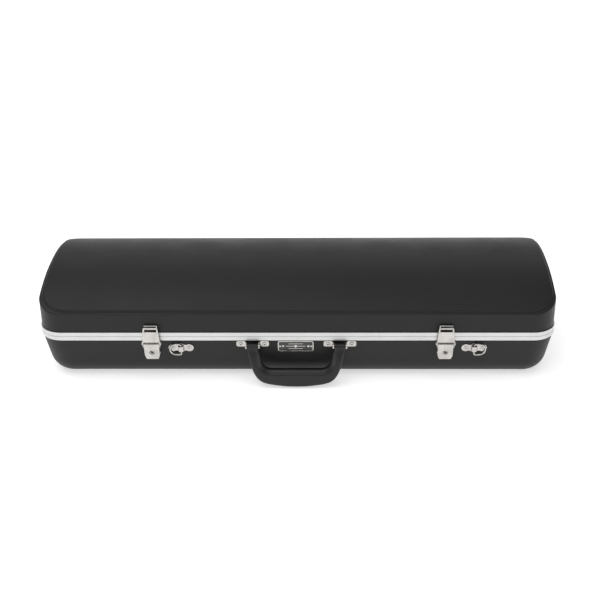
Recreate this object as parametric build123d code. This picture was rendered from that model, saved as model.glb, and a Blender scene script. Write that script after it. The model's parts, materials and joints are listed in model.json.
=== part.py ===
from build123d import *
import math
import os

# Violin case, oblong, closed.  Millimetres.  X runs along the case, Y from the
# front (latches and handle) to the back (hinges), Z up.  The origin is the
# centre of the flat underside that the case rests on.

# Whole case
case_length = 795.0
case_width = 268.0
half_length = case_length / 2
half_width = case_width / 2
corner_radius = 36.0
base_edge_radius = 34.0
base_draft = 8.8
bend_height = 70.0
base_corner_flare = 3.0
skin = 2.5
seam_height = 77.5
rail_bottom = 70.9
rail_top = 84.3

# Vaulted lid: an arch across the width that stands on a narrow ledge
crease_height = 119.0
arch_height = 29.0
arch_power = 2.3
ledge_inset = 3.2
ledge_drop = 3.6
vault_corner_radius = 42.0
vault_edge_radius = 3.4
ledge_edge_radius = 1.6

# Aluminium rails
rail_proud = 1.4
seam_gap = 0.5
rail_web = 1.8
inner_flange = 1.1
tongue_gap = 0.5
tongue_width = 1.2
tongue_rise = 3.0

# Padding
base_padding = 11.0
base_floor_padding = 10.0
cavity_corner_radius = 30.0
cavity_edge_radius = 18.5
liner_top = 69.5
lid_padding = 8.0
lid_liner_bottom = 87.4
floor_pad_top = 18.5
tray_top = 60.0

# Space for the violin: two round bouts, a neck channel and a scroll space
lower_bout_x = -262.0
lower_bout_radius = 112.0
upper_bout_x = -95.0
upper_bout_radius = 91.0
neck_start_x = 8.0
scroll_start_x = 120.0
compartment_x = 245.0
neck_half_width = 36.0
scroll_half_width = 46.0
neck_wall_outer = 54.0
end_wall_thickness = 10.0
cradle_x = 100.0
cradle_length = 32.0
cradle_top = 56.0
neck_radius = 17.0
strap_width = 38.0
strap_thickness = 2.4

# Lid over the accessory compartment
accessory_low_x = 2.0
accessory_high_x = 250.0
accessory_front = -117.5
accessory_back = -51.5
accessory_lid_bottom = 60.5
accessory_lid_thickness = 3.0

# Front hardware
latch_positions = {"left": -222.5, "right": 228.5}
latch_plate = 1.2
latch_pivot_proud = 4.8
latch_pivot_height = 67.8
latch_pivot_radius = 1.0
hasp_pivot_proud = 5.4
hasp_pivot_height = 62.6
hasp_pivot_radius = 0.9
running_gap = 0.05
lever_top = 68.9
lever_knee = 47.5
lever_bottom = 40.2
lever_back = 7.4
lever_front = 8.8
hasp_back = 6.2
hasp_front = 7.6
hasp_plate_bottom = 70.6
hasp_half_width = 13.3
hasp_arm = 1.0
hasp_eye_radius = 2.0
hasp_top = 94.3
keeper_top = 98.0
lock_height = 53.3
lock_radius = 4.0

d_ring_offset = 44.5
d_ring_height = 56.5
d_ring_sag = 2.0
d_ring_pivot_proud = 3.2
d_ring_wire = 1.2
d_ring_reach = 17.2
d_ring_half_height = 9.9

handle_spacing = 67.0
handle_pivot_proud = 9.0
handle_pivot_height = 65.2
handle_pin_radius = 2.0
handle_lean = 11.0
knuckle_radius = 4.4
knuckle_half_width = 8.9

plate_centre_x = -0.9
plate_height = 59.9

# Back hardware
hinge_positions = (-260.0, 0.0, 260.0)
hinge_proud = 4.8
hinge_knuckle = 3.0
hinge_pin_radius = 1.3
hinge_half_width = 30.0
foot_x = 330.0
foot_height = 9.0
foot_radius = 9.0

# Bow holders in the lid
spinner_x = 290.0
spinner_y = 58.0
spinner_top = 121.0
tip_loop_x = 340.0


def block(low, high):
    """Plain block between two opposite corners."""
    size = [b - a for a, b in zip(low, high)]
    centre = [(a + b) / 2 for a, b in zip(low, high)]
    return Pos(*centre) * Box(*size)


def rod(start, end, radius):
    """Round rod between two points."""
    first = Vector(*start)
    along = Vector(*end) - first
    return extrude(Plane(origin=first, z_dir=along) * Circle(radius), amount=along.length)


def front_block(x_low, x_high, proud_low, proud_high, z_low, z_high):
    """Block on the front wall; proud is the distance out from the wall."""
    low = (x_low, -half_width - proud_high, z_low)
    high = (x_high, -half_width - proud_low, z_high)
    return block(low, high)


def front_plate(face, proud_low, proud_high):
    """Outline drawn in X and Z, made into a plate on the front wall."""
    plane = Plane.XZ.offset(half_width + proud_low)
    return extrude(plane * face, amount=proud_high - proud_low)


def front_rod(x_low, x_high, proud, z, radius):
    """Rod along X in front of the front wall."""
    y = -half_width - proud
    return rod((x_low, y, z), (x_high, y, z), radius)


def front_rod_y(x, z, proud_low, proud_high, radius):
    """Rod straight out from the front wall."""
    start = (x, -half_width - proud_low, z)
    end = (x, -half_width - proud_high, z)
    return rod(start, end, radius)


def on_front(solid):
    """Leans hardware with the base's front wall."""
    bend_line = Pos(0, -half_width, bend_height)
    return bend_line * Rot(base_draft, 0, 0) * Pos(0, half_width, -bend_height) * solid


def leaned(proud, z):
    """Where on_front takes a point, as its distance out from the wall and its height."""
    angle = math.radians(base_draft)
    drop = bend_height - z
    new_proud = proud * math.cos(angle) - drop * math.sin(angle)
    return new_proud, bend_height - drop * math.cos(angle) - proud * math.sin(angle)


def back_block(x_low, x_high, proud_low, proud_high, z_low, z_high):
    """Block on the back wall."""
    low = (x_low, half_width + proud_low, z_low)
    high = (x_high, half_width + proud_high, z_high)
    return block(low, high)


def rivet(x, z, side, proud, radius, height):
    """Domed rivet head; side is -1 on the front wall and 1 on the back wall."""
    y = side * (half_width + proud)
    head = rod((x, y, z), (x, y + side * height, z), radius)
    rim = head.edges().sort_by(Axis.Y)
    outer = rim[0] if side < 0 else rim[-1]
    return fillet(outer, height * 0.75)


def hollow_rivet(x, z, proud, radius, height):
    """Tubular rivet on the front wall, with a hollow end."""
    hollow = front_rod_y(x, z, proud + 0.3, proud + height + 1, radius * 0.4)
    return rivet(x, z, -1, proud, radius, height) - hollow


def rounded_prism(inset, radius, bottom, top):
    """Upright prism with the case's plan, moved in from its outer face."""
    plan = RectangleRounded(case_length - 2 * inset, case_width - 2 * inset, radius)
    return Pos(0, 0, bottom) * extrude(plan, amount=top - bottom)


def drafted_plan(inset, height):
    """The base's plan at a height: below the bend, the front and ends lean in."""
    drop = max(bend_height - height, 0)
    lean = drop * math.tan(math.radians(base_draft))
    length = case_length - 2 * (inset + lean)
    width = case_width - 2 * inset - lean
    radius = corner_radius - inset + base_corner_flare * drop / bend_height
    return Pos(0, lean / 2, height) * RectangleRounded(length, width, radius)


def bowl(inset, bottom, top, edge_radius):
    """Tub with drafted walls and a rounded lower edge, for the base."""
    lower = loft([drafted_plan(inset, bottom), drafted_plan(inset, bend_height)], ruled=True)
    lower = fillet(lower.edges().group_by(Axis.Z)[0], edge_radius)
    return lower + extrude(drafted_plan(inset, bend_height), amount=top - bend_height)


def arch_z(y, drop):
    """Height of the lid's arch over the point y, lowered by drop."""
    share = abs(y) / half_width
    return crease_height + arch_height * (1 - share ** arch_power) - drop


def under_arch(drop):
    """Everything above the seam and under the arch, lowered by drop."""
    steps = 12
    across = [half_width * 1.02 * (2 * i / steps - 1) for i in range(steps + 1)]
    top = [(y, arch_z(y, drop)) for y in across]
    arch = Spline(*top)
    sides = Polyline(top[-1], (top[-1][0], seam_height), (top[0][0], seam_height), top[0])
    end = half_length + 10
    plane = Plane(origin=(-end, 0, 0), x_dir=(0, 1, 0), z_dir=(1, 0, 0))
    return extrude(plane * make_face(arch + sides), amount=2 * end)


def vault(inset, drop, bottom, radius, edge_radius):
    """Prism closed on top by the arch, with its upper edge rounded."""
    solid = rounded_prism(inset, radius, bottom, crease_height + arch_height + 10)
    solid = solid & under_arch(drop)
    if edge_radius:
        top_face = solid.faces().sort_by(Axis.Z)[-1]
        solid = fillet(top_face.edges(), edge_radius)
    return solid


def rail_ring(inset_low, inset_high, bottom, top):
    """Ring that follows the case's plan between two insets."""
    outer = rounded_prism(inset_low, corner_radius - inset_low, bottom, top)
    inner = rounded_prism(inset_high, corner_radius - inset_high, bottom - 1, top + 1)
    return outer - inner


def base_cavity():
    """Space inside the base's padding."""
    floor = skin + base_floor_padding
    solid = rounded_prism(skin + base_padding, cavity_corner_radius, floor, rail_top)
    return fillet(solid.edges().group_by(Axis.Z)[0], cavity_edge_radius)


def lid_cavity():
    """Space inside the lid's padding."""
    inset = ledge_inset + skin + lid_padding
    drop = skin + lid_padding
    return vault(inset, drop, lid_liner_bottom - 5, vault_corner_radius - inset + ledge_inset, 0)


def make_base_shell():
    outer = bowl(0, 0, rail_bottom + 4.6, base_edge_radius)
    inner = bowl(skin, skin, rail_top, base_edge_radius - skin)
    return outer - inner


def make_base_valance():
    top = seam_height - seam_gap / 2
    tongue_outer = skin + inner_flange + tongue_gap
    tongue_inner = tongue_outer + tongue_width
    web_bottom = rail_bottom + 4.6
    skirt = rail_ring(-rail_proud, 0, rail_bottom, top)
    web = rail_ring(-rail_proud, tongue_inner, web_bottom, top)
    flange = rail_ring(skin, tongue_inner, liner_top + 0.5, top)
    tongue = rail_ring(tongue_outer, tongue_inner, web_bottom, top + tongue_rise)
    return skirt + web + flange + tongue


def make_lid_valance():
    bottom = seam_height + seam_gap / 2
    web_top = bottom + rail_web
    flange_inner = skin + inner_flange
    skirt = rail_ring(-rail_proud, 0, bottom, rail_top)
    web = rail_ring(-rail_proud, flange_inner, bottom, web_top)
    flange = rail_ring(skin, flange_inner, bottom, lid_liner_bottom - 0.4)
    return skirt + web + flange


def make_lid_shell():
    bottom = seam_height + seam_gap / 2 + rail_web
    lower = vault(0, ledge_drop, bottom, corner_radius, ledge_edge_radius)
    upper = vault(ledge_inset, 0, bottom, vault_corner_radius, vault_edge_radius)
    return lower + upper - lid_shell_cavity(bottom - 1)


def lid_shell_cavity(bottom):
    """Space inside the lid's bare shell."""
    lower = vault(skin, ledge_drop + skin, bottom, corner_radius - skin, 0)
    radius = vault_corner_radius - skin
    upper = vault(ledge_inset + skin, skin, bottom, radius, 0)
    return lower + upper


def make_lid_liner():
    return lid_shell_cavity(lid_liner_bottom) - lid_cavity()


def make_base_liner():
    filling = bowl(skin, skin, rail_top, base_edge_radius - skin)
    above = block((-half_length, -half_width, liner_top), (half_length, half_width, rail_top + 1))
    return filling - above - base_cavity()


def tray(x_low, x_high, bottom, top):
    """Slice of the base's inside between two stations along the case."""
    reach = half_width
    return base_cavity() & block((x_low, -reach, bottom), (x_high, reach, top))


def bout_hole(x, radius):
    """Round well for one bout of the violin."""
    return rod((x, 0, floor_pad_top - 1), (x, 0, tray_top + 1), radius)


def make_bolsters():
    lower_hole = bout_hole(lower_bout_x, lower_bout_radius)
    upper_hole = bout_hole(upper_bout_x, upper_bout_radius)
    neck_low = (upper_bout_x, -neck_half_width, floor_pad_top - 1)
    neck_high = (neck_start_x + 1, neck_half_width, tray_top + 1)
    lower = tray(-half_length, lower_bout_x, floor_pad_top, tray_top) - lower_hole
    waist = tray(lower_bout_x, upper_bout_x, floor_pad_top, tray_top)
    waist = waist - lower_hole - upper_hole
    shoulder = tray(upper_bout_x, neck_start_x, floor_pad_top, tray_top)
    shoulder = shoulder - upper_hole - block(neck_low, neck_high)
    return lower, waist, shoulder


def make_neck_walls():
    walls = []
    for side in (-1, 1):
        outer = side * neck_wall_outer
        y_pair = sorted((outer, side * neck_half_width))
        cut_pair = sorted((side * scroll_half_width, side * (neck_half_width - 1)))
        low = (neck_start_x, y_pair[0], floor_pad_top)
        high = (compartment_x, y_pair[1], tray_top)
        cut_low = (scroll_start_x, cut_pair[0], floor_pad_top - 1)
        cut_high = (compartment_x + 1, cut_pair[1], tray_top + 1)
        walls.append(block(low, high) - block(cut_low, cut_high))
    return Compound(children=walls)


def make_neck_cradle():
    low = (cradle_x - cradle_length / 2, -neck_half_width, floor_pad_top)
    high = (cradle_x + cradle_length / 2, neck_half_width, cradle_top)
    notch_start = (low[0] - 1, 0, cradle_top)
    notch_end = (high[0] + 1, 0, cradle_top)
    return block(low, high) - rod(notch_start, notch_end, neck_radius)


def make_neck_strap():
    reach = neck_wall_outer - 7
    top = ThreePointArc((-reach, tray_top + 1), (0, tray_top + 10), (reach, tray_top + 1))
    low = tray_top + 10 - strap_thickness
    under = ThreePointArc((reach, tray_top), (0, low), (-reach, tray_top))
    right = Line((reach, tray_top + 1), (reach, tray_top))
    left = Line((-reach, tray_top), (-reach, tray_top + 1))
    face = make_face(top + right + under + left)
    plane = Plane(origin=(cradle_x - strap_width / 2, 0, 0), x_dir=(0, 1, 0), z_dir=(1, 0, 0))
    return extrude(plane * face, amount=strap_width)


def make_latch_base(x):
    plate = front_block(x - 11.6, x + 11.6, 0, latch_plate, 45, rail_bottom - 0.2)
    shoulder = front_block(x - 14.5, x + 14.5, 0, latch_plate, 64.6, rail_bottom - 0.2)
    base = plate + shoulder
    for side in (-1, 1):
        inner = x + side * 13.5
        outer = x + side * 14.5
        low, high = sorted((inner, outer))
        ear = front_rod(low, high, latch_pivot_proud, latch_pivot_height, 3.1)
        web = front_block(low, high, 0, latch_pivot_proud, 64.7, rail_bottom - 0.2)
        base = base + ear + web
    hole = front_rod(x - 16, x + 16, latch_pivot_proud, latch_pivot_height, latch_pivot_radius)
    return base - hole


def make_latch_pin(x):
    z = latch_pivot_height
    pin = front_rod(x - 14.5, x + 14.5, latch_pivot_proud, z, latch_pivot_radius)
    for side in (-1, 1):
        low, high = sorted((x + side * 14.5, x + side * 15.3))
        pin = pin + front_rod(low, high, latch_pivot_proud, z, latch_pivot_radius + 0.8)
    return pin


def make_latch_lever(x):
    top_half = 12.0
    outline = [
        (-top_half, lever_top),
        (top_half, lever_top),
        (11.6, lever_knee),
        (9.2, lever_bottom),
        (-9.2, lever_bottom),
        (-11.6, lever_knee),
    ]
    face = Pos(x, 0) * make_face(Polyline(*outline, close=True))
    face = fillet(face.vertices().group_by(Axis.Y)[0], 1.6)
    plate = front_plate(face, lever_back, lever_front)
    rim = plate.faces().sort_by(Axis.Y)[0].edges()
    lever = fillet(rim, 0.5)
    pivot = (latch_pivot_proud, latch_pivot_height)
    hasp = (hasp_pivot_proud, hasp_pivot_height)
    for side in (-1, 1):
        low, high = sorted((x + side * 10.8, x + side * top_half))
        cheek = front_block(low, high, latch_pivot_proud, lever_back + 0.2, 58.6, lever_top)
        boss = front_rod(low, high, pivot[0], pivot[1], 2.4)
        foot = front_rod(low, high, hasp[0], hasp[1], 2.0)
        lip_low, lip_high = sorted((x + side * 10.4, x + side * 11.4))
        lip = front_block(lip_low, lip_high, 5.8, lever_back + 0.2, lever_knee + 1, 58.8)
        lever = lever + cheek + boss + foot + lip
    housing = front_rod_y(x, lock_height, 3.6, lever_back + 0.2, lock_radius + 1.4)
    lever = lever + housing
    bores = front_rod(x - 13, x + 13, pivot[0], pivot[1], latch_pivot_radius + running_gap)
    hasp_bore = front_rod(x - 13, x + 13, hasp[0], hasp[1], hasp_pivot_radius + running_gap)
    lock_bore = front_rod_y(x, lock_height, 2, lever_front + 1, lock_radius + running_gap)
    return lever - bores - hasp_bore - lock_bore


def make_lock_barrel(x):
    """Key barrel whose face is sunk in the lever, with a slot for the key."""
    face_proud = lever_front - 0.5
    barrel = front_rod_y(x, lock_height, 2.6, face_proud, lock_radius)
    barrel = fillet(barrel.edges().sort_by(Axis.Y)[0], 0.6)
    cam = front_block(x - 1.6, x + 1.6, 1.7, 2.6, lock_height - 6.5, lock_height + 1.6)
    slot_face = Pos(x, lock_height) * Rot(0, 0, 45) * Rectangle(1.7, 6.2)
    slot = front_plate(slot_face, 4.4, 10)
    keyway = front_rod_y(x, lock_height, 4.4, 10, 1.7)
    return barrel + cam - slot - keyway


def make_hasp(x):
    """Upright catch plate; its two arms reach in to the pivot in the leaning lever."""
    outline = [
        (-hasp_half_width, hasp_plate_bottom),
        (hasp_half_width, hasp_plate_bottom),
        (11.9, 88.0),
        (11.2, hasp_top),
        (-11.2, hasp_top),
        (-11.9, 88.0),
    ]
    face = Pos(x, 0) * make_face(Polyline(*outline, close=True))
    plate = front_plate(face, hasp_back, hasp_front)
    window = front_block(x - 9.4, x + 9.4, 0, 10, 88.6, 93.1)
    bar = front_rod(x - 11.2, x + 11.2, 6.5, hasp_top, 1.5)
    ends = bar.edges().filter_by(GeomType.CIRCLE)
    hasp = plate - window + fillet(ends, 0.7)
    eye_proud, eye_z = leaned(hasp_pivot_proud, hasp_pivot_height)
    arm_outline = [
        (-half_width - eye_proud + hasp_eye_radius, eye_z),
        (-half_width - 5.8, eye_z + 3.8),
        (-half_width - hasp_back, hasp_plate_bottom + 0.5),
        (-half_width - hasp_front, hasp_plate_bottom + 0.5),
        (-half_width - hasp_front, hasp_plate_bottom - 1),
        (-half_width - eye_proud - hasp_eye_radius, eye_z),
    ]
    for side in (-1, 1):
        low, high = sorted((x + side * (hasp_half_width - hasp_arm), x + side * hasp_half_width))
        plane = Plane(origin=(low, 0, 0), x_dir=(0, 1, 0), z_dir=(1, 0, 0))
        arm = extrude(plane * make_face(Polyline(*arm_outline, close=True)), amount=high - low)
        hasp = hasp + arm + front_rod(low, high, eye_proud, eye_z, hasp_eye_radius)
    return hasp - front_rod(x - 14, x + 14, eye_proud, eye_z, hasp_pivot_radius)


def make_hasp_pin(x):
    proud, z = leaned(hasp_pivot_proud, hasp_pivot_height)
    return front_rod(x - 13.35, x + 13.35, proud, z, hasp_pivot_radius)


def make_keeper(x):
    """Plate with a folded lip over a slit, for the hasp's bar to hook on."""
    plate = front_block(x - 10, x + 10, 0, 1.3, rail_top + 0.3, keeper_top)
    lip = front_block(x - 10, x + 10, 0, 4.2, keeper_top - 1.5, keeper_top)
    lip_edges = lip.edges().filter_by(Axis.X).sort_by(Axis.Y)[:2]
    slit = front_block(x - 8.4, x + 8.4, -1, 2, keeper_top - 5.1, keeper_top - 1.6)
    return plate - slit + fillet(lip_edges, 0.6)


def make_d_ring_plate(x):
    lobes = Pos(-12.6, 0) * Circle(6.9) + Pos(12.6, 0) * Circle(6.9)
    face = lobes + Rectangle(25, 11.4) + Ellipse(7.8, 8.0)
    face = fillet(face.vertices(), 1.2)
    plate = front_plate(Pos(x, d_ring_height) * face, 0, 1.2)
    rim = plate.faces().sort_by(Axis.Y)[0].edges()
    plate = fillet(rim, 0.35)
    saddle = front_block(x - 4.2, x + 4.2, 1.0, 5.8, d_ring_height - 4.6, d_ring_height + 4.6)
    crown = saddle.edges().filter_by(Axis.Z).sort_by(Axis.Y)[:2]
    saddle = fillet(crown, 2.2)
    y = -half_width - d_ring_pivot_proud
    start = (x, y, d_ring_height - 10)
    end = (x, y, d_ring_height + 8)
    channel = rod(start, end, d_ring_wire + running_gap)
    return plate + saddle - channel


def make_d_ring(x, side):
    """D-shaped ring whose straight bar is the pivot; side is its rest side."""
    height = d_ring_half_height
    centre = d_ring_reach - height
    bow = Pos(centre, 0) * Circle(height)
    square = Pos(centre / 2, 0) * Rectangle(centre, 2 * height)
    right_half = Pos(20, 0) * Rectangle(40, 40)
    outline = (bow + square) & right_half
    corners = outline.vertices().group_by(Axis.X)[0]
    outline = fillet(corners, 2.6)
    plane = Plane.XZ.offset(half_width + d_ring_pivot_proud)
    place = Pos(x, d_ring_height - d_ring_sag) * Rot(0, 0, 0 if side > 0 else 180)
    path = (plane * place * outline).wire()
    start = path.edges()[0]
    section = Plane(origin=start @ 0, z_dir=start % 0) * Circle(d_ring_wire)
    return sweep(section, path=path)


def make_handle_bracket(x):
    """Two riveted feet with ears for the handle's pin, joined by a strip behind its leg."""
    bracket = front_block(x - 10.4, x + 10.4, 0, 1.2, 54.8, 61.8)
    proud, z = handle_pivot_proud, handle_pivot_height
    for side in (-1, 1):
        low, high = sorted((x + side * 10.4, x + side * 25.3))
        foot_face = Pos((low + high) / 2, 64.5) * RectangleRounded(high - low, 10.8, 3.2)
        foot = front_plate(foot_face, 0, 1.6)
        foot = fillet(foot.faces().sort_by(Axis.Y)[0].edges(), 0.6)
        low, high = sorted((x + side * 9.1, x + side * 10.4))
        ear = front_rod(low, high, proud, z, 3.8)
        web = front_block(low, high, 0, proud, 61.4, 69.0)
        tab = front_block(low, high, 0, 1.6, 54.8, 62.0)
        neck_low, neck_high = sorted((x + side * 10.0, x + side * 15.0))
        neck = front_block(neck_low, neck_high, 0, 1.0, 60.6, 68.4)
        bracket = bracket + foot + ear + web + tab + neck
    return bracket - front_rod(x - 12, x + 12, proud, z, handle_pin_radius)


def make_handle_pin(x):
    z = handle_pivot_height
    pin = front_rod(x - 10.4, x + 10.4, handle_pivot_proud, z, handle_pin_radius)
    for side in (-1, 1):
        low, high = sorted((x + side * 10.4, x + side * 11.4))
        pin = pin + front_rod(low, high, handle_pivot_proud, z, handle_pin_radius + 1)
    return pin


def make_handle():
    """Moulded grip and its steel core, drawn hanging plumb under the pivot line."""
    outer = [(75.8, 0), (74.6, -10), (70, -27.5), (63.5, -44.5), (55.5, -54.2), (44, -59),
             (22, -62.4), (0, -63.4)]
    inner = [(36, -36.5), (44, -35.4), (50, -31), (54, -21.5), (57, -9), (58.2, 0)]
    outer_line = Spline(*outer, tangents=[(0, -1), (-1, 0)])
    inner_line = Spline(*inner, tangents=[(1, 0), (0, 1)])
    half = [outer_line, inner_line, Line(inner[-1], outer[0])]
    flat = Line((-inner[0][0], inner[0][1]), inner[0])
    outline = make_face(half + [mirror(line, Plane.YZ) for line in half] + [flat])
    depth = extrude(Plane.XZ.offset(-20) * outline, amount=40)
    top, bottom = knuckle_radius, 9
    front_side = Spline((-top, 1), (-top, -3), (-6.6, -14), (-bottom, -40), (-bottom, -66),
                        tangents=[(0, -1), (0, -1)])
    back_side = Spline((bottom, -66), (bottom, -40), (6.6, -14), (top, -3), (top, 1),
                       tangents=[(0, 1), (0, 1)])
    closing = Line((-bottom, -66), (bottom, -66)) + Line((top, 1), (-top, 1))
    side_face = make_face(front_side + back_side + closing)
    side_plane = Plane(origin=(-90, 0, 0), x_dir=(0, 1, 0), z_dir=(1, 0, 0))
    thickness = extrude(side_plane * side_face, amount=180)
    grip = fillet(long_edges(depth & thickness), 3.9)
    for side in (-1, 1):
        low, high = sorted((side * (handle_spacing - knuckle_half_width),
                            side * (handle_spacing + knuckle_half_width)))
        grip = grip + rod((low, 0, 0), (high, 0, 0), knuckle_radius)
    strap = [(66.5, -8), (64, -24), (53, -44), (0, -52), (-53, -44), (-64, -24), (-66.5, -8)]
    line = FilletPolyline(*strap, radius=12)
    core = extrude(Plane.XZ.offset(-3) * trace(line, 2.4), amount=6)
    grip = grip - core
    for side in (-1, 1):
        low = side * (handle_spacing - 12)
        high = side * (handle_spacing + 12)
        grip = grip - rod((low, 0, 0), (high, 0, 0), handle_pin_radius + running_gap)
    proud, z = leaned(handle_pivot_proud, handle_pivot_height)
    place = Pos(0, -half_width - proud, z) * Rot(-handle_lean, 0, 0)
    return place * grip, place * core


def long_edges(solid):
    """The long edges round the handle's grip."""
    return ShapeList(edge for edge in solid.edges() if edge.length > 30)


def make_nameplate():
    centre = Pos(plate_centre_x, plate_height)
    border = RectangleRounded(55, 20.2, 3.6) - RectangleRounded(52, 17.2, 2.1)
    ornament = Rectangle(30, 1.1) + Pos(0, -4.6) * Rectangle(22, 0.9)
    ornament = ornament + Pos(0, 4.6) * Rectangle(22, 0.9)
    lozenge = Rot(0, 0, 45) * Rectangle(4.2, 4.2)
    ornament = ornament + lozenge
    ornament = ornament + Pos(-19.5, 0) * Circle(1.9) + Pos(19.5, 0) * Circle(1.9)
    whole = RectangleRounded(55, 20.2, 3.6)
    plate = front_plate(centre * whole, 0, 0.8)
    raised = front_plate(centre * (border + ornament), 0.8, 1.4)
    fill = whole - border - ornament
    enamel = front_plate(centre * fill, 0.8, 1.1)
    return plate + raised, enamel


def make_hinge(x):
    """Base leaf, lid leaf and pin of one hinge on the back wall."""
    base = hinge_leaf(x, -1)
    lid = hinge_leaf(x, 1)
    y = half_width + hinge_proud
    segments = 5
    width = 2 * hinge_half_width / segments
    for index in range(segments):
        low = x - hinge_half_width + index * width + 0.15
        high = low + width - 0.3
        knuckle = rod((low, y, seam_height), (high, y, seam_height), hinge_knuckle)
        room = rod((low - 0.3, y, seam_height), (high + 0.3, y, seam_height), hinge_knuckle + 0.35)
        if index % 2 == 0:
            base = base + knuckle
            lid = lid - room
        else:
            lid = lid + knuckle
            base = base - room
    low = x - hinge_half_width
    high = x + hinge_half_width
    base = base - rod((low, y, seam_height), (high, y, seam_height), hinge_pin_radius)
    lid_bore = rod((low, y, seam_height), (high, y, seam_height), hinge_pin_radius + running_gap)
    pin = rod((low - 0.6, y, seam_height), (high + 0.6, y, seam_height), hinge_pin_radius)
    return base, lid - lid_bore, pin


def hinge_leaf(x, side):
    """Leaf with a step over the rail; side is -1 below the seam and 1 above."""
    step = seam_height + side * 7.4
    far = seam_height + side * 29
    near = seam_height + side * 0.9
    low, high = sorted((step - side * 0.6, far))
    flat = back_block(x - hinge_half_width, x + hinge_half_width, 0, 1.3, low, high)
    low, high = sorted((step - side * 0.6, step + side * 0.8))
    riser = back_block(x - hinge_half_width, x + hinge_half_width, 0, 2.9, low, high)
    low, high = sorted((near, step + side * 0.8))
    over = back_block(x - hinge_half_width, x + hinge_half_width, 1.7, 2.9, low, high)
    leaf = flat + riser + over
    rail = back_block(x - 40, x + 40, -1, 1.5, rail_bottom - 0.1, rail_top + 0.1)
    return leaf - rail


def make_hinge_rivets(side):
    z = seam_height + side * 20
    rivets = []
    for x in hinge_positions:
        rivets += [rivet(x + offset, z, 1, 1.3, 2.6, 1.2) for offset in (-20, 0, 20)]
    return rivets


def make_foot(x, z):
    """Rubber foot on the back wall and the screw that holds it."""
    start = (x, half_width, z)
    foot = rod(start, (x, half_width + foot_height, z), foot_radius)
    foot = fillet(foot.edges().sort_by(Axis.Y)[-1], 2)
    recess = rod((x, half_width + 5, z), (x, half_width + foot_height + 1, z), 4)
    screw = rod((x, half_width + 5, z), (x, half_width + 6.6, z), 3.6)
    cross = block((x - 2.2, half_width + 6, z - 0.4), (x + 2.2, half_width + 7, z + 0.4))
    cross = cross + block((x - 0.4, half_width + 6, z - 2.2), (x + 0.4, half_width + 7, z + 2.2))
    return foot - recess, screw - cross


def make_bow_holder(x, y):
    """Fixed post and turning hook bar of one bow holder."""
    post = rod((x, y, spinner_top), (x, y, 140), 9) & lid_cavity()
    stem = rod((x, y, spinner_top - 5.2), (x, y, spinner_top + 1), 3)
    button = rod((x, y, spinner_top - 7), (x, y, spinner_top - 5.2), 5)
    bar = Pos(x, y, spinner_top - 2.6) * Box(13, 44, 4.4)
    bar = fillet(bar.edges().filter_by(Axis.Z), 6)
    for side in (-1, 1):
        hook = Pos(x, y + side * 19.8, spinner_top + 0.6) * Box(9, 3.2, 6.4)
        bar = bar + hook
    bore = rod((x, y, spinner_top - 6), (x, y, spinner_top + 4), 3 + running_gap)
    return post + stem + button, bar - bore


def make_tip_loop(x, y):
    """Padded loop in the lid that takes the bow's tip."""
    width = 26
    top = arch_z(abs(y) + width, skin + lid_padding) - 4
    outside = block((x - 20, y - width, top - 18), (x + 20, y + width, 140))
    inside = block((x - 21, y - width + 4, top - 13.5), (x + 21, y + width - 4, 141))
    edges = outside.edges().filter_by(Axis.X).group_by(Axis.Z)[0]
    inner_edges = inside.edges().filter_by(Axis.X).group_by(Axis.Z)[0]
    return (fillet(edges, 10) - fillet(inner_edges, 7)) & lid_cavity()


def group(solids):
    return Compound(children=list(solids))


parts = {}

# Shells, rails and padding
parts["base_shell"] = make_base_shell()
parts["base_valance"] = make_base_valance()
parts["base_liner"] = make_base_liner()
parts["lid_shell"] = make_lid_shell()
parts["lid_valance"] = make_lid_valance()
parts["lid_liner"] = make_lid_liner()
parts["floor_pad"] = tray(-half_length, half_length, 0, floor_pad_top)
lower, waist, shoulder = make_bolsters()
parts["lower_bout_bolsters"] = lower
parts["waist_bolsters"] = waist
parts["shoulder_bolsters"] = shoulder
parts["neck_walls"] = make_neck_walls()
end_high = compartment_x + end_wall_thickness
parts["end_wall"] = tray(compartment_x, end_high, floor_pad_top, tray_top)
parts["neck_cradle"] = make_neck_cradle()
parts["neck_strap"] = make_neck_strap()

# Accessory compartment's lid with its ribbon tab
lid_top = accessory_lid_bottom + accessory_lid_thickness
accessory_low = (accessory_low_x, accessory_front, accessory_lid_bottom)
accessory_high = (accessory_high_x, accessory_back, lid_top)
parts["accessory_lid"] = block(accessory_low, accessory_high)
tab_x = (accessory_low_x + accessory_high_x) / 2
tab_low = (tab_x - 8, accessory_front + 1, lid_top)
parts["accessory_lid_tab"] = block(tab_low, (tab_x + 8, accessory_front + 22, lid_top + 0.9))

# Latches
latch_xs = latch_positions.values()
parts["latch_bases"] = on_front(group(make_latch_base(x) for x in latch_xs))
parts["latch_pivot_pins"] = on_front(group(make_latch_pin(x) for x in latch_xs))
parts["keepers"] = group(make_keeper(x) for x in latch_xs)
latch_rivets = []
keeper_rivets = []
for x in latch_xs:
    for side in (-1, 1):
        latch_rivets += [rivet(x + side * 8.2, z, -1, latch_plate, 1.7, 0.9) for z in (48.5, 58)]
        keeper_rivets.append(rivet(x + side * 6, 90.4, -1, 1.3, 1.8, 0.9))
parts["latch_rivets"] = on_front(group(latch_rivets))
parts["keeper_rivets"] = group(keeper_rivets)
for name, x in latch_positions.items():
    parts["latch_lever_" + name] = on_front(make_latch_lever(x))
    parts["lock_barrel_" + name] = on_front(make_lock_barrel(x))
    parts["latch_hasp_" + name] = make_hasp(x)
    parts["hasp_pin_" + name] = make_hasp_pin(x)

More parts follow.
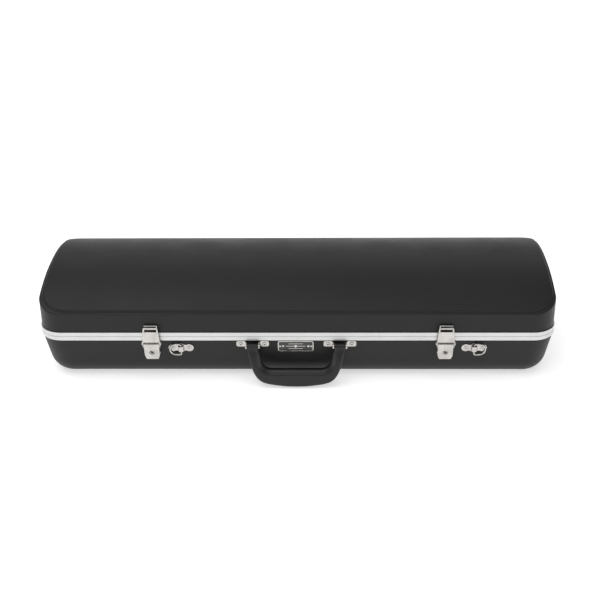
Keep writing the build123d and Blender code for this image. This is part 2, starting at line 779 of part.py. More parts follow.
# Strap rings
ring_xs = [x + d_ring_offset for x in latch_xs]
ring_rivets = []
for x in ring_xs:
    for side in (-1, 1):
        ring_rivets.append(hollow_rivet(x + side * 12.6, d_ring_height, 1.2, 2.7, 0.8))
parts["d_ring_plates"] = on_front(group(make_d_ring_plate(x) for x in ring_xs))
parts["d_ring_rivets"] = on_front(group(ring_rivets))
parts["d_ring_left"] = on_front(make_d_ring(ring_xs[0], -1))
parts["d_ring_right"] = on_front(make_d_ring(ring_xs[1], 1))

# Handle
handle_xs = (-handle_spacing, handle_spacing)
handle_rivets = []
for x in handle_xs:
    handle_rivets += [hollow_rivet(x + side * 18.3, 64.5, 1.6, 3.3, 1.3) for side in (-1, 1)]
parts["handle_brackets"] = on_front(group(make_handle_bracket(x) for x in handle_xs))
parts["handle_pins"] = on_front(group(make_handle_pin(x) for x in handle_xs))
parts["handle_rivets"] = on_front(group(handle_rivets))
parts["handle_grip"], parts["handle_core"] = make_handle()

# Nameplate
plate, enamel = make_nameplate()
parts["nameplate"] = on_front(plate)
parts["nameplate_enamel"] = on_front(enamel)
plate_rivets = [plate_centre_x - 24, plate_centre_x + 24]
plate_rivets = [rivet(x, plate_height, -1, 1.1, 1.9, 1.2) for x in plate_rivets]
parts["nameplate_rivets"] = on_front(group(plate_rivets))

# Hinges
hinges = [make_hinge(x) for x in hinge_positions]
parts["hinge_base_leaves"] = group(hinge[0] for hinge in hinges)
parts["hinge_lid_leaves"] = group(hinge[1] for hinge in hinges)
parts["hinge_pins"] = group(hinge[2] for hinge in hinges)
parts["hinge_base_rivets"] = group(make_hinge_rivets(-1))
parts["hinge_lid_rivets"] = group(make_hinge_rivets(1))

# Feet on the back, for standing the case on its spine
base_feet = [make_foot(side * foot_x, 46) for side in (-1, 1)]
lid_feet = [make_foot(side * foot_x, 98) for side in (-1, 1)]
parts["spine_feet_base"] = group(foot[0] for foot in base_feet)
parts["foot_screws_base"] = group(foot[1] for foot in base_feet)
parts["spine_feet_lid"] = group(foot[0] for foot in lid_feet)
parts["foot_screws_lid"] = group(foot[1] for foot in lid_feet)

# Bow holders and tip loops
holders = {"left": (-spinner_x, -spinner_y), "right": (spinner_x, spinner_y)}
posts = []
for name, place in holders.items():
    post, bar = make_bow_holder(*place)
    posts.append(post)
    parts["bow_spinner_" + name] = bar
parts["bow_spinner_posts"] = group(posts)
loops = [(tip_loop_x, -spinner_y), (-tip_loop_x, spinner_y)]
parts["bow_tip_loops"] = group(make_tip_loop(*place) for place in loops)

os.makedirs("parts", exist_ok=True)
for name, shape in parts.items():
    export_step(shape, "parts/" + name + ".step")
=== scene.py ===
"""Looks of the violin case: finishes, upholstery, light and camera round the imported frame.

Everything is in metres, in the frame of the CAD model: X along the case, Y from
the latches to the hinges, Z up from the surface that the case stands on.
"""

import json
import math

import bmesh
import bpy
from mathutils import Matrix, Vector, noise
from mathutils.bvhtree import BVHTree


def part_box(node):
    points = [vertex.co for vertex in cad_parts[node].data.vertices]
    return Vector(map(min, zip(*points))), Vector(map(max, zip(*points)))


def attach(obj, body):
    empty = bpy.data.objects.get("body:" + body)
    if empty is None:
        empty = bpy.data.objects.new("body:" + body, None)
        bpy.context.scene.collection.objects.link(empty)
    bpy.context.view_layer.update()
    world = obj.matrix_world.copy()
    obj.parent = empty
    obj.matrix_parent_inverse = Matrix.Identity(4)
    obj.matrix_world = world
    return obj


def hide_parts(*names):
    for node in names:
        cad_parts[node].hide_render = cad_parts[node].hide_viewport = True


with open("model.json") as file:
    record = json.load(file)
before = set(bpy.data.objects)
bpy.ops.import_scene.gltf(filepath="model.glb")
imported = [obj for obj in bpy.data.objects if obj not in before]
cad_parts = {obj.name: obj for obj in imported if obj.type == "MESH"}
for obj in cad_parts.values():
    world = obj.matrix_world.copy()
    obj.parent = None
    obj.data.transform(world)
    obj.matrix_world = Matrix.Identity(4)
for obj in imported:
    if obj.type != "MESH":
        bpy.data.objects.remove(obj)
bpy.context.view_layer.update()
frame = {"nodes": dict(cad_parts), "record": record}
nodes = frame["nodes"]
scene = bpy.context.scene
MM = 0.001
WAVE_PERIOD = 0.314159 / 2.0  # one band of a wave texture at scale 1 is pi / 10 wide, in each direction
SHADE_REACH = 1.8 * MM  # how near to a corner or in how small a recess plated metal is painted darker, as painted shade


# Finishes

class Finish:
    """A Principled material: plain values sit on the shader's own sockets, patterns are wired to them."""

    def __init__(self, name, **constants):
        self.material = bpy.data.materials.new(name)
        self.material.use_nodes = True
        self.tree = self.material.node_tree
        self.shader = self.tree.nodes["Principled BSDF"]
        for socket, value in constants.items():
            self.shader.inputs[socket.replace("_", " ")].default_value = value
        self.place = self.add("ShaderNodeTexCoord").outputs["Object"]
        self.relief = None

    def add(self, kind, **settings):
        made = self.tree.nodes.new(kind)
        for name, value in settings.items():
            setattr(made, name, value)
        return made

    def join(self, source, socket):
        self.tree.links.new(source, socket)

    def stretched(self, stretch, turn=(0.0, 0.0, 0.0)):
        """The object's own coordinates, turned and stretched."""
        mapping = self.add("ShaderNodeMapping")
        mapping.inputs["Scale"].default_value = stretch
        mapping.inputs["Rotation"].default_value = [math.radians(angle) for angle in turn]
        self.join(self.place, mapping.inputs["Vector"])
        return mapping.outputs["Vector"]

    def noise(self, scale, detail=2.0, stretch=(1.0, 1.0, 1.0), turn=(0.0, 0.0, 0.0)):
        made = self.add("ShaderNodeTexNoise")
        made.inputs["Scale"].default_value = scale
        made.inputs["Detail"].default_value = detail
        self.join(self.stretched(stretch, turn), made.inputs["Vector"])
        return made.outputs["Fac"]

    def cells(self, scale, feature="SMOOTH_F1", stretch=(1.0, 1.0, 1.0)):
        made = self.add("ShaderNodeTexVoronoi", feature=feature)
        made.inputs["Scale"].default_value = scale
        self.join(self.stretched(stretch), made.inputs["Vector"])
        return made.outputs["Distance"]

    def bands(self, pitch, axis, turn=(0.0, 0.0, 0.0)):
        """Even ribs, one every pitch metres along an axis."""
        made = self.add("ShaderNodeTexWave", wave_type="BANDS", bands_direction=axis)
        made.inputs["Scale"].default_value = WAVE_PERIOD / pitch
        self.join(self.stretched((1.0, 1.0, 1.0), turn), made.inputs["Vector"])
        return made.outputs["Fac"]

    def between(self, source, low, high, start=0.3, end=0.7):
        """source from start to end, as a value from low to high."""
        made = self.add("ShaderNodeMapRange")
        made.inputs["From Min"].default_value = start
        made.inputs["From Max"].default_value = end
        made.inputs["To Min"].default_value = low
        made.inputs["To Max"].default_value = high
        self.join(source, made.inputs["Value"])
        return made.outputs["Result"]

    def sum(self, first, second, operation="ADD"):
        made = self.add("ShaderNodeMath", operation=operation)
        self.join(first, made.inputs[0])
        self.join(second, made.inputs[1])
        return made.outputs["Value"]

    def colours(self, source, dark, light, start=0.3, end=0.7):
        """A colour from dark to light as source goes from start to end."""
        made = self.add("ShaderNodeValToRGB")
        for element, position, colour in zip(made.color_ramp.elements, (start, end), (dark, light)):
            element.position = position
            element.color = (*colour, 1.0)
        self.join(source, made.inputs["Fac"])
        return made.outputs["Color"]

    def blend_colours(self, factor, first, second):
        made = self.add("ShaderNodeMix", data_type="RGBA")
        self.join(factor, made.inputs["Factor"])
        self.join(first, made.inputs["A"])
        self.join(second, made.inputs["B"])
        return made.outputs["Result"]

    def recess(self, reach):
        """1 on open surfaces, falling to 0 in the bottom of narrow recesses."""
        made = self.add("ShaderNodeAmbientOcclusion", samples=6)
        made.inputs["Distance"].default_value = reach
        return made.outputs["AO"]

    def base(self, colour):
        self.join(colour, self.shader.inputs["Base Color"])

    def roughness(self, value):
        self.join(value, self.shader.inputs["Roughness"])

    def bump(self, height, depth):
        """Adds a relief of that depth, in metres, on top of the ones before it."""
        made = self.add("ShaderNodeBump")
        made.inputs["Distance"].default_value = depth
        self.join(height, made.inputs["Height"])
        if self.relief is not None:
            self.join(self.relief, made.inputs["Normal"])
        self.relief = made.outputs["Normal"]
        self.join(self.relief, self.shader.inputs["Normal"])


def abs_shell():
    """Vacuum-formed black ABS: leathergrain, faint handling marks and a few scuffs."""
    f = Finish("abs_shell", IOR=1.40)
    smudge = f.noise(14.0, 4.0)
    scuff = f.noise(60.0, 6.0, stretch=(0.35, 3.0, 2.0), turn=(8.0, 21.0, 34.0))
    plain = f.colours(smudge, (0.0055, 0.0055, 0.0052), (0.0085, 0.0085, 0.0080))
    worn = f.colours(smudge, (0.018, 0.018, 0.017), (0.026, 0.026, 0.025))
    f.base(f.blend_colours(f.between(scuff, 0.0, 1.0, 0.69, 0.85), plain, worn))
    f.roughness(f.between(smudge, 0.43, 0.52))
    f.bump(f.cells(850.0), 0.00016)
    f.bump(f.noise(2600.0, 2.0), 0.00003)
    f.bump(f.noise(9.0, 2.0), 0.0006)
    return f.material


def aluminium():
    """Satin anodised extrusion, brushed along its length."""
    f = Finish("aluminium_rail", Metallic=1.0)
    lines = f.noise(1.0, 3.0, stretch=(14.0, 14.0, 2600.0))
    fog = f.noise(22.0, 4.0)
    f.base(f.colours(fog, (0.57, 0.574, 0.572), (0.67, 0.673, 0.668)))
    f.roughness(f.sum(f.between(lines, 0.34, 0.46), f.between(fog, -0.03, 0.05)))
    f.bump(lines, 0.000012)
    return f.material


def plated(name, dark, light, low, high):
    """Plated metal with fine hairlines in two directions, cloudy fingermarks, and painted shade that
    darkens its colour in recesses and near corners.
    """
    f = Finish(name, Metallic=1.0)
    fog = f.noise(95.0, 5.0)
    lines = f.noise(1.0, 3.0, stretch=(70.0, 70.0, 3200.0), turn=(0.0, 4.0, 0.0))
    marks = f.noise(1.0, 2.0, stretch=(2400.0, 900.0, 90.0), turn=(0.0, 33.0, 0.0))
    # Painted shade: ambient occlusion darkens the plated colour to about a sixth in recesses and near
    # corners
    recess_shade = [0.16 * value for value in dark]
    shaded_colour = f.colours(fog, recess_shade, [1.6 * value for value in recess_shade])
    own_colour = f.colours(fog, dark, light)
    unshaded_share = f.between(f.recess(SHADE_REACH), 0.0, 1.0, 0.30, 0.80)
    f.base(f.blend_colours(unshaded_share, shaded_colour, own_colour))
    f.roughness(f.sum(f.between(fog, low, high), f.between(lines, -0.02, 0.06)))
    f.bump(lines, 0.000008)
    f.bump(marks, 0.000006)
    return f.material


def enamel():
    """Stoved black enamel in the sunk panel of the plate."""
    f = Finish("enamel", Coat_Weight=0.5, Coat_Roughness=0.08)
    f.base(f.colours(f.noise(180.0, 3.0), (0.004, 0.004, 0.004), (0.009, 0.009, 0.009)))
    f.roughness(f.between(f.noise(240.0, 3.0), 0.16, 0.30))
    f.bump(f.noise(900.0, 2.0), 0.00002)
    return f.material


def moulded_plastic(name, dark, light, low, high, grain):
    """Injection-moulded black plastic with a fine spark-eroded grain."""
    f = Finish(name, IOR=1.42)
    wear = f.noise(30.0, 4.0)
    f.base(f.colours(wear, dark, light))
    f.roughness(f.between(wear, low, high))
    f.bump(f.noise(2200.0, 3.0), grain)
    f.bump(f.noise(48.0, 2.0), grain * 4.0)
    return f.material


def plush(name, dark, light):
    """Short plush pile with a soft sheen: brushed patches that lie different ways, painted lighter at the
    fibre ends as a painted sheen and darker down in the pile as painted shade.
    """
    f = Finish(name, Sheen_Weight=0.45, Sheen_Roughness=0.42, Specular_IOR_Level=0.15)
    nap = f.noise(26.0, 4.0, stretch=(1.0, 1.7, 1.3))
    fibre = f.noise(2100.0, 3.0)
    # Painted light: the pile is painted darker between the fibres as painted shade, the fibre ends lighter
    # as a painted sheen, and the nap patches choose between the two
    pile_shade = [0.84 * value for value in dark]
    pile = f.colours(fibre, pile_shade, dark, 0.25, 0.55)
    sheened_ends = f.colours(fibre, dark, light, 0.35, 0.70)
    f.base(f.blend_colours(f.between(nap, 0.0, 1.0, 0.34, 0.66), pile, sheened_ends))
    f.roughness(f.between(nap, 0.82, 0.97))
    f.bump(fibre, 0.00045)
    f.bump(f.cells(520.0), 0.00025)
    f.bump(nap, 0.0016)
    return f.material


def webbing(name, dark, light):
    """Woven strap: ribs across it with warp threads between them."""
    f = Finish(name, Sheen_Weight=0.25, Sheen_Roughness=0.5, Specular_IOR_Level=0.25)
    ribs = f.bands(1.6 * MM, "X")
    warp = f.bands(1.1 * MM, "Y")
    weave = f.sum(ribs, warp, "MULTIPLY")
    fuzz = f.noise(3000.0, 2.0)
    f.base(f.blend_colours(fuzz, f.colours(weave, dark, light), f.colours(weave, light, light)))
    f.roughness(f.between(fuzz, 0.72, 0.9))
    f.bump(weave, 0.00022)
    f.bump(fuzz, 0.00008)
    return f.material


def rubber():
    """Matt rubber with dust in its grain."""
    f = Finish("rubber_foot", Specular_IOR_Level=0.35)
    dust = f.noise(160.0, 5.0)
    f.base(f.colours(dust, (0.010, 0.010, 0.010), (0.024, 0.023, 0.022)))
    f.roughness(f.between(dust, 0.70, 0.88))
    f.bump(f.noise(1500.0, 3.0), 0.00006)
    return f.material


finishes = {
    "abs_shell": abs_shell(),
    "aluminium_rail": aluminium(),
    "nickel": plated("nickel", (0.46, 0.443, 0.424), (0.60, 0.58, 0.556), 0.09, 0.21),
    "lock_steel": plated("lock_steel", (0.30, 0.29, 0.28), (0.42, 0.41, 0.39), 0.24, 0.36),
    "steel": plated("steel", (0.44, 0.44, 0.44), (0.56, 0.56, 0.55), 0.28, 0.42),
    "enamel": enamel(),
    "handle_plastic": moulded_plastic(
        "handle_plastic", (0.009, 0.009, 0.0088), (0.014, 0.014, 0.0135), 0.36, 0.46, 0.00002),
    "spinner_plastic": moulded_plastic(
        "spinner_plastic", (0.008, 0.008, 0.008), (0.012, 0.012, 0.012), 0.16, 0.24, 0.000008),
    "rubber_foot": rubber(),
    "plush": plush("plush", (0.25, 0.255, 0.27), (0.38, 0.39, 0.41)),
    "plush_board": plush("plush_board", (0.24, 0.245, 0.26), (0.37, 0.38, 0.40)),
    "webbing": webbing("webbing", (0.020, 0.020, 0.022), (0.060, 0.060, 0.065)),
}


def paint(piece, slot):
    """Gives every face of a piece one finish."""
    piece.data.materials.clear()
    piece.data.materials.append(finishes[slot])
    for face in piece.data.polygons:
        face.material_index = 0


for part in frame["record"]["subparts"]:
    paint(nodes[part["node"]], part["material_slot"])


# Upholstery: every padded CAD solid is replaced by a soft skin that fills the same space

def evaluated(piece):
    """The piece's mesh with its modifiers applied."""
    return bpy.data.meshes.new_from_object(piece.evaluated_get(bpy.context.evaluated_depsgraph_get()))


def link(name, mesh):
    """A new object with that mesh, in the scene."""
    piece = bpy.data.objects.new(name, mesh)
    scene.collection.objects.link(piece)
    return piece


def shade_smooth(piece):
    piece.data.polygons.foreach_set("use_smooth", [True] * len(piece.data.polygons))


def even_copy(node, name, voxel):
    """A copy of a CAD node, remeshed in even quads."""
    piece = link(name, nodes[node].data.copy())
    remesh = piece.modifiers.new("even", "REMESH")
    remesh.mode = "VOXEL"
    remesh.voxel_size = voxel
    mesh = evaluated(piece)
    piece.modifiers.clear()
    piece.data = mesh
    return piece


def eased(mesh, rounds):
    """The mesh as a bmesh, with its edges smoothed."""
    skin = bmesh.new()
    skin.from_mesh(mesh)
    for _ in range(rounds):
        bmesh.ops.smooth_vert(
            skin, verts=skin.verts, factor=0.5, use_axis_x=True, use_axis_y=True, use_axis_z=True)
    return skin


def soft_skin(node, voxel, inset, rounds):
    """Even quads just inside a CAD node's surface, with its edges eased."""
    piece = even_copy(node, node + "_plush", voxel)
    mesh = piece.data
    skin = eased(mesh, rounds)
    skin.normal_update()
    for vertex in skin.verts:
        vertex.co -= vertex.normal * inset
    skin.to_mesh(mesh)
    skin.free()
    return piece


def hold_underside(piece):
    """Keeps the faces that are glued down from swelling."""
    held = piece.vertex_groups.new(name="held")
    lowest = min(vertex.co.z for vertex in piece.data.vertices)
    held.add([v.index for v in piece.data.vertices if v.co.z < lowest + GLUED_HEIGHT], 1.0, "ADD")


def swell(pieces, limit):
    """Fills the pads by a cloth simulation under pressure; no point moves further than limit."""
    start = {piece: [vertex.co.copy() for vertex in piece.data.vertices] for piece in pieces}
    for piece in pieces:
        hold_underside(piece)
        cloth = piece.modifiers.new("cloth", "CLOTH")
        cloth.settings.use_pressure = True
        cloth.settings.uniform_pressure_force = STUFFING_PRESSURE
        cloth.settings.effector_weights.gravity = 0.0
        cloth.settings.vertex_group_mass = "held"
        cloth.settings.quality = 4
        cloth.point_cache.frame_start = 1
        cloth.point_cache.frame_end = SWELL_FRAMES
    for number in range(1, SWELL_FRAMES + 1):
        scene.frame_set(number)
    for piece in pieces:
        mesh = evaluated(piece)
        piece.modifiers.clear()
        for vertex, before in zip(mesh.vertices, start[piece]):
            move = vertex.co - before
            if move.length > limit:
                vertex.co = before + move * (limit / move.length)
        piece.data = mesh
    scene.frame_set(1)


def unevenness(piece, depth, size):
    """Hand-stuffed look: low bumps and hollows over the whole skin."""
    mesh = piece.data
    normals = [vertex.normal.copy() for vertex in mesh.vertices]
    for vertex, normal in zip(mesh.vertices, normals):
        wave = noise.noise(vertex.co / size) + 0.5 * noise.noise(vertex.co / (0.4 * size))
        vertex.co += normal * (depth * wave)


def dress(piece, node, slot, body, levels=1):
    """Finish, body and smoothing of a pad that stands for a CAD node; the CAD node is hidden."""
    paint(piece, slot)
    shade_smooth(piece)
    if levels:
        piece.modifiers.new("smooth", "SUBSURF").levels = levels
        piece.modifiers["smooth"].render_levels = levels
    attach(piece, body)
    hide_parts(node)


def upper_edges(node):
    """Chains of points along the sharp upper edges of a CAD node."""
    solid = bmesh.new()
    solid.from_mesh(nodes[node].data)
    bmesh.ops.remove_doubles(solid, verts=solid.verts, dist=0.01 * MM)
    top = max(vertex.co.z for vertex in solid.verts)
    links = {}
    for edge in solid.edges:
        if len(edge.link_faces) != 2 or min(v.co.z for v in edge.verts) < top - 0.1 * MM:
            continue
        tilt = sorted(abs(face.normal.z) for face in edge.link_faces)
        if tilt[0] < 0.5 < tilt[1]:
            first, second = edge.verts
            links.setdefault(first.index, []).append(second.index)
            links.setdefault(second.index, []).append(first.index)
    place = {vertex.index: vertex.co.copy() for vertex in solid.verts}
    solid.free()
    chains = []
    while links:
        here = min(links)
        chain = [place[here]]
        while links.get(here):
            following = links[here].pop(0)
            links[following].remove(here)
            if not links[here]:
                del links[here]
            here = following
            chain.append(place[here])
        links.pop(here, None)
        chains.append(chain)
    return chains


def resample(chain, step):
    """Points at even steps along a chain."""
    points = [chain[0]]
    left = step
    for before, after in zip(chain, chain[1:]):
        run = after - before
        while run.length > left:
            before = before + run.normalized() * left
            points.append(before)
            run = after - before
            left = step
        left -= run.length
    return points


def tube(name, lines, radius, slot, body, closed=True):
    """Round cord along each line of points."""
    curve = bpy.data.curves.new(name, "CURVE")
    curve.dimensions = "3D"
    curve.bevel_depth = radius
    curve.bevel_resolution = 2
    curve.use_fill_caps = not closed
    for points in lines:
        spline = curve.splines.new("POLY")
        spline.points.add(len(points) - 1)
        spline.points.foreach_set("co", [value for point in points for value in (*point, 1.0)])
        spline.use_cyclic_u = closed
    maker = link(name, curve)
    mesh = evaluated(maker)
    bpy.data.objects.remove(maker)
    piece = link(name, mesh)
    paint(piece, slot)
    shade_smooth(piece)
    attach(piece, body)


def piping(node, pad, body):
    """Covered cord sewn into a pad's upper edge, where the soft skin is."""
    mesh = pad.data
    skin = BVHTree.FromPolygons([v.co for v in mesh.vertices], [p.vertices for p in mesh.polygons])
    lines = []
    for chain in upper_edges(node):
        points = resample(chain, PIPING_STEP)
        if len(points) < SHORTEST_PIPING:
            continue
        points = [skin.find_nearest(point)[0] for point in points]
        for _ in range(3):
            count = len(points)
            points = [(points[i - 1] + 2 * points[i] + points[(i + 1) % count]) / 4 for i in range(count)]
        lines.append(points)
    tube(node + "_piping", lines, PIPING_RADIUS, "webbing", body)


def make_pads():
    """Bolsters and walls round the violin, swelled together in one simulation."""
    pads = {}
    for node in ("lower_bout_bolsters", "waist_bolsters", "shoulder_bolsters", "neck_walls", "end_wall",
                 "neck_cradle"):
        pads[node] = soft_skin(node, PAD_VOXEL, PAD_INSET, 4)
    swell(list(pads.values()), MOST_SWELL)
    for node, pad in pads.items():
        unevenness(pad, 0.7 * MM, 60 * MM)
        dress(pad, node, "plush", "base")
        piping(node, pad, "base")


def make_linings():
    """Thin foam linings glued inside the shells: eased and slightly uneven."""
    for node, body, voxel, inset in (
            ("base_liner", "base", 4 * MM, 0.5 * MM), ("lid_liner", "lid", 3.5 * MM, 0.4 * MM),
            ("floor_pad", "base", 3 * MM, 0.3 * MM), ("bow_tip_loops", "lid", 1.5 * MM, 0.2 * MM)):
        lining = soft_skin(node, voxel, inset, 3)
        unevenness(lining, 0.5 * MM, 70 * MM)
        dress(lining, node, "plush", body, levels=0 if voxel > 2 * MM else 1)


def make_board():
    """Lid of the accessory box: thin board wrapped in plush, with a sewn edge."""
    board = soft_skin("accessory_lid", 1.6 * MM, 0.15 * MM, 3)
    unevenness(board, 0.25 * MM, 50 * MM)
    dress(board, "accessory_lid", "plush_board", "accessory_lid", levels=0)
    low, high = (Vector(corner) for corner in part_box("accessory_lid"))
    edge = 5 * MM
    top = high.z - 0.1 * MM
    corners = [(low.x + edge, low.y + edge), (high.x - edge, low.y + edge),
               (high.x - edge, high.y - edge), (low.x + edge, high.y - edge)]
    line = [Vector((x, y, top)) for x, y in corners]
    stitches("accessory_lid_stitches", [line + line[:1]], 3.2 * MM, "accessory_lid")


def stitches(name, lines, pitch, body):
    """Rows of thread, each stitch a short capsule that dips at both ends."""
    runs = []
    for line in lines:
        points = resample(line, pitch)
        for before, after in zip(points, points[1:]):
            gap = (after - before) * 0.14
            dip = Vector((0.0, 0.0, -0.35 * MM))
            runs.append([before + gap + dip, before + 2 * gap, after - 2 * gap, after - gap + dip])
    tube(name, runs, 0.32 * MM, "webbing", body, closed=False)


def band(name, path, across, thickness, slot, body):
    """Flat strap along a path: a woven face with thinner selvedges."""
    half_thick = thickness / 2
    profile = [(-1.0, -0.55), (-0.94, -1.0), (0.94, -1.0), (1.0, -0.55),
               (1.0, 0.55), (0.94, 1.0), (0.5, 0.9), (0.0, 1.0), (-0.5, 0.9), (-0.94, 1.0), (-1.0, 0.55)]
    shape = bmesh.new()
    rings = []
    for number, point in enumerate(path):
        ahead = path[min(number + 1, len(path) - 1)] - path[max(number - 1, 0)]
        up = Vector(across).cross(ahead).normalized()
        if up.z < 0:
            up.negate()
        rings.append([shape.verts.new(point + Vector(across) * u + up * (half_thick * v))
                      for u, v in profile])
    size = len(profile)
    for before, after in zip(rings, rings[1:]):
        for i in range(size):
            j = (i + 1) % size
            shape.faces.new((before[i], before[j], after[j], after[i]))
    shape.faces.new(rings[0])
    shape.faces.new(reversed(rings[-1]))
    bmesh.ops.recalc_face_normals(shape, faces=shape.faces)
    mesh = bpy.data.meshes.new(name)
    shape.to_mesh(mesh)
    shape.free()
    piece = link(name, mesh)
    paint(piece, slot)
    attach(piece, body)
    return piece


def make_strap():
    """Neck strap: two overlapping bands that arch over the neck, sewn to the walls."""
    low, high = (Vector(corner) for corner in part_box("neck_strap"))
    middle = (low.x + high.x) / 2
    half = (high.x - low.x) / 2 - 0.5 * MM
    reach = high.y - 0.5 * MM
    rise = high.z - low.z - 2.6 * MM

    def height(y, lift):
        return low.z + 1.0 * MM + lift + rise * (1 - (y / reach) ** 2)

    def arch(start, end, lift):
        count = 36
        steps = [start + (end - start) * i / count for i in range(count + 1)]
        return [Vector((middle, y, height(y, lift))) for y in steps]

    lower = band("neck_strap_lower", arch(-reach, 26 * MM, 0.0), (half, 0, 0), STRAP_THICKNESS,
                 "webbing", "base")
    band("neck_strap_upper", arch(-12 * MM, reach, STRAP_LIFT), (half, 0, 0), STRAP_THICKNESS,
         "webbing", "base")
    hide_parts("neck_strap")
    rows = []
    for side in (-1, 1):
        lift = (0.0 if side < 0 else STRAP_LIFT) + 0.75 * MM
        outer, inner = side * (reach - 2 * MM), side * (reach - 12 * MM)
        box = [Vector((middle + x * (half - 3 * MM), y, height(y, lift)))
               for x, y in ((-1, outer), (1, outer), (1, inner), (-1, inner))]
        rows += [box + box[:1], [box[0], box[2]], [box[1], box[3]]]
    stitches("neck_strap_stitches", rows, 2.6 * MM, "base")


def make_tab():
    """Ribbon tab of the accessory lid, folded double, with its stitches."""
    low, high = (Vector(corner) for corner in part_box("accessory_lid_tab"))
    middle = (low.x + high.x) / 2
    half = (high.x - low.x) / 2
    span = high.y - low.y
    count = 12
    path = []
    for i in range(count + 1):
        share = i / count
        lift = 0.5 * MM + 1.6 * MM * math.sin(math.pi * min(share * 1.6, 1.0)) * (share < 0.63)
        path.append(Vector((middle, low.y + span * share, low.z + lift)))
    tab = band("accessory_lid_ribbon", path, (half, 0, 0), 0.9 * MM, "webbing", "accessory_lid")
    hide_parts("accessory_lid_tab")
    inner, outer = high.y - 2 * MM, high.y - 8 * MM
    box = [Vector((middle + side * (half - 1.6 * MM), y, low.z + 1.0 * MM))
           for side, y in ((-1, outer), (1, outer), (1, inner), (-1, inner))]
    stitches("accessory_lid_ribbon_stitches", [box + box[:1]], 2.2 * MM, "accessory_lid")


SWELL_FRAMES = 20
STUFFING_PRESSURE = 4.0
MOST_SWELL = 3.0 * MM
GLUED_HEIGHT = 3 * MM
PAD_VOXEL = 4.5 * MM
PAD_INSET = 2.4 * MM
PIPING_RADIUS = 1.5 * MM
PIPING_STEP = 4 * MM
SHORTEST_PIPING = 8  # points
STRAP_THICKNESS = 1.3 * MM
STRAP_LIFT = 1.4 * MM  # of the upper band over the lower one

make_pads()
make_linings()
make_board()
make_strap()
make_tab()


# Handle: the CAD grip's outline with the slanting inner flanks of the real moulding

GRIP_VOXEL = 0.8 * MM
BORE_RADIUS = 2.6 * MM  # the grip's bores, clear of their pins
FLANK_WIDTH = 7.5 * MM
FLANK_SLOPE = math.tan(math.radians(32.0))
FLANK_START = 6.0 * MM  # below the top of the grip
FLANK_FADE = 9.0 * MM  # further down, where the flanks are full


def facing(solid):
    """The normal of the largest flat face that looks forward."""
    areas = {}
    for face in solid.faces:
        if face.normal.y < 0.0:
            key = tuple(round(value, 3) for value in face.normal)
            areas[key] = areas.get(key, 0.0) + face.calc_area()
    return Vector(max(areas, key=areas.get)).normalized()


def walls_round_opening(solid, centre, front):
    """The solid's faces that look straight at the middle of its opening, with nothing between."""
    blocks = BVHTree.FromBMesh(solid)
    inner = []
    for face in solid.faces:
        start = face.calc_center_median() + face.normal * 0.05 * MM
        inward = centre - start
        inward -= inward.dot(front) * front
        if (abs(face.normal.dot(front)) < 0.2 and face.normal.dot(inward) > 0.0
                and blocks.ray_cast(start, inward.normalized(), inward.length)[0] is None):
            inner.append([vertex.index for vertex in face.verts])
    return BVHTree.FromPolygons([vertex.co.copy() for vertex in solid.verts], inner)


def clear_bores(skin):
    """Moves the remeshed bores out, clear of their pins."""
    low, high = (Vector(corner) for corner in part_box("handle_pins"))
    pivot = (low + high) / 2.0
    for vertex in skin.verts:
        spoke = vertex.co - pivot
        spoke.x = 0.0
        if spoke.length < BORE_RADIUS:
            vertex.co += spoke.normalized() * (BORE_RADIUS - spoke.length)


def slant_flanks(skin, walls, centre, front, top):
    """Cuts the front back towards the opening; the back half stays as it is."""
    reach = [(vertex.co - centre).dot(front) for vertex in skin.verts]
    middle, half = (max(reach) + min(reach)) / 2.0, (max(reach) - min(reach)) / 2.0
    for vertex, out in zip(skin.verts, reach):
        gap = walls.find_nearest(vertex.co)[0] - vertex.co
        from_wall = (gap - gap.dot(front) * front).length
        full = min(max((top - vertex.co.z - FLANK_START) / FLANK_FADE, 0.0), 1.0)
        rise = max((out - middle) / half, 0.0)
        vertex.co -= front * (max(FLANK_WIDTH - from_wall, 0.0) * FLANK_SLOPE * rise * full)


def make_grip():
    """Moulded grip: the CAD grip's outline and bores, with slanting inner flanks on its front."""
    low, high = (Vector(corner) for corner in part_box("handle_grip"))
    centre = (low + high) / 2.0
    solid = bmesh.new()
    solid.from_mesh(nodes["handle_grip"].data)
    bmesh.ops.remove_doubles(solid, verts=solid.verts, dist=0.001 * MM)
    solid.normal_update()
    front = facing(solid)
    walls = walls_round_opening(solid, centre, front)
    solid.free()
    grip = even_copy("handle_grip", "handle_grip_moulded", GRIP_VOXEL)
    skin = eased(grip.data, 2)
    clear_bores(skin)
    slant_flanks(skin, walls, centre, front, high.z)
    skin.to_mesh(grip.data)
    skin.free()
    shade_smooth(grip)
    paint(grip, "handle_plastic")
    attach(grip, "handle")
    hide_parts("handle_grip")


make_grip()


# Stage: a pale floor, one broad soft light overhead and a bright horizon

def make_floor():
    f = Finish("floor", Emission_Color=(1.0, 1.0, 1.0, 1.0), Emission_Strength=FLOOR_GLOW)
    f.base(f.colours(f.noise(3.0, 2.0), (0.93, 0.93, 0.93), (0.95, 0.95, 0.95)))
    f.roughness(f.between(f.noise(5.0, 2.0), 0.85, 0.95))
    mesh = bpy.data.meshes.new("floor")
    half = FLOOR_SIZE / 2.0
    corners = [(x, y, -FLOOR_GAP) for x, y in ((-half, -half), (half, -half), (half, half), (-half, half))]
    mesh.from_pydata(corners, [], [(0, 1, 2, 3)])
    mesh.materials.append(f.material)
    link("floor", mesh)


def area_light(name, place, aim, size, power):
    data = bpy.data.lights.new(name, "AREA")
    data.shape = "RECTANGLE"
    data.size, data.size_y = size
    data.energy = power
    light = bpy.data.objects.new(name, data)
    light.location = place
    light.rotation_euler = (Vector(aim) - Vector(place)).to_track_quat("-Z", "Y").to_euler()
    scene.collection.objects.link(light)


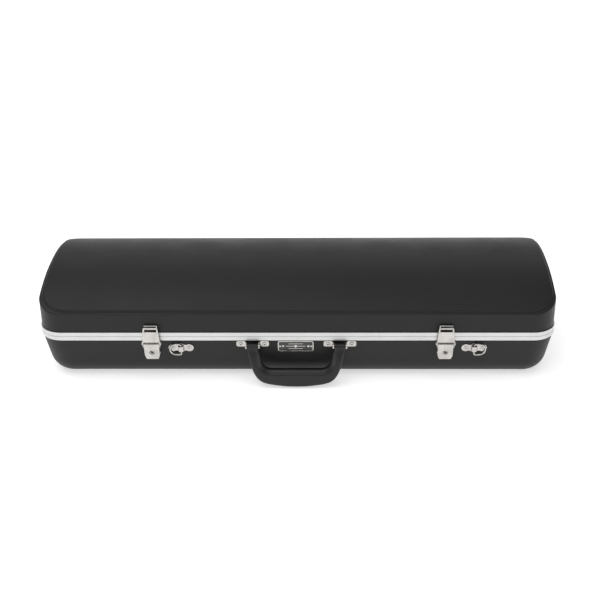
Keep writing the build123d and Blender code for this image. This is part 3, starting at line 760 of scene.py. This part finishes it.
def make_sky():
    """Grey studio round the case: bright at the horizon, darker above it."""
    world = bpy.data.worlds.new("studio")
    world.use_nodes = True
    tree = world.node_tree
    place = tree.nodes.new("ShaderNodeTexCoord")
    split = tree.nodes.new("ShaderNodeSeparateXYZ")
    ramp = tree.nodes.new("ShaderNodeValToRGB")
    tree.links.new(place.outputs["Generated"], split.inputs["Vector"])
    tree.links.new(split.outputs["Z"], ramp.inputs["Fac"])
    tree.links.new(ramp.outputs["Color"], tree.nodes["Background"].inputs["Color"])
    elements = ramp.color_ramp.elements
    while len(elements) < len(SKY):
        elements.new(0.5)
    for element, (height, grey) in zip(elements, SKY):
        element.position = height
        element.color = (grey, grey, grey, 1.0)
    scene.world = world


FLOOR_SIZE = 40.0
FLOOR_GAP = 0.2 * MM  # keeps the floor off the case's underside
FLOOR_GLOW = 0.55
SKY = ((0.0, 0.80), (0.12, 0.80), (0.34, 0.36), (1.0, 0.44))

make_floor()
make_sky()
area_light("overhead", (-0.6, -0.4, 2.6), (0.0, 0.0, 0.1), (3.4, 2.4), 33.0)
area_light("front_left", (-2.4, -1.5, 0.5), (-0.2, -0.1, 0.1), (0.8, 0.8), 5.0)
area_light("front_right", (2.4, -1.5, 0.5), (0.2, -0.1, 0.1), (0.8, 0.8), 6.0)
area_light("behind", (0.0, 2.6, 1.5), (0.0, 0.0, 0.1), (3.0, 1.0), 2.0)


# Camera

AIM = Vector((0.0030, 0.0, 0.0690))
AZIMUTH, ELEVATION, ROLL = (math.radians(angle) for angle in (1.57, 28.04, -0.79))
DISTANCE = 1.8605
LENS_MM = 68.1

back = Vector((math.sin(AZIMUTH) * math.cos(ELEVATION),
               -math.cos(AZIMUTH) * math.cos(ELEVATION),
               math.sin(ELEVATION)))
right = Vector((math.cos(AZIMUTH), math.sin(AZIMUTH), 0.0))
up = back.cross(right)
rolled_right = math.cos(ROLL) * right + math.sin(ROLL) * up
rolled_up = -math.sin(ROLL) * right + math.cos(ROLL) * up

camera = bpy.data.objects.new("camera", bpy.data.cameras.new("camera"))
camera.data.lens = LENS_MM
camera.matrix_world = Matrix.Translation(AIM + back * DISTANCE) @ Matrix(
    (rolled_right, rolled_up, back)).transposed().to_4x4()
scene.collection.objects.link(camera)
scene.camera = camera

scene.view_settings.view_transform = "Standard"
scene.view_settings.look = "None"
scene.view_settings.exposure = 0.0
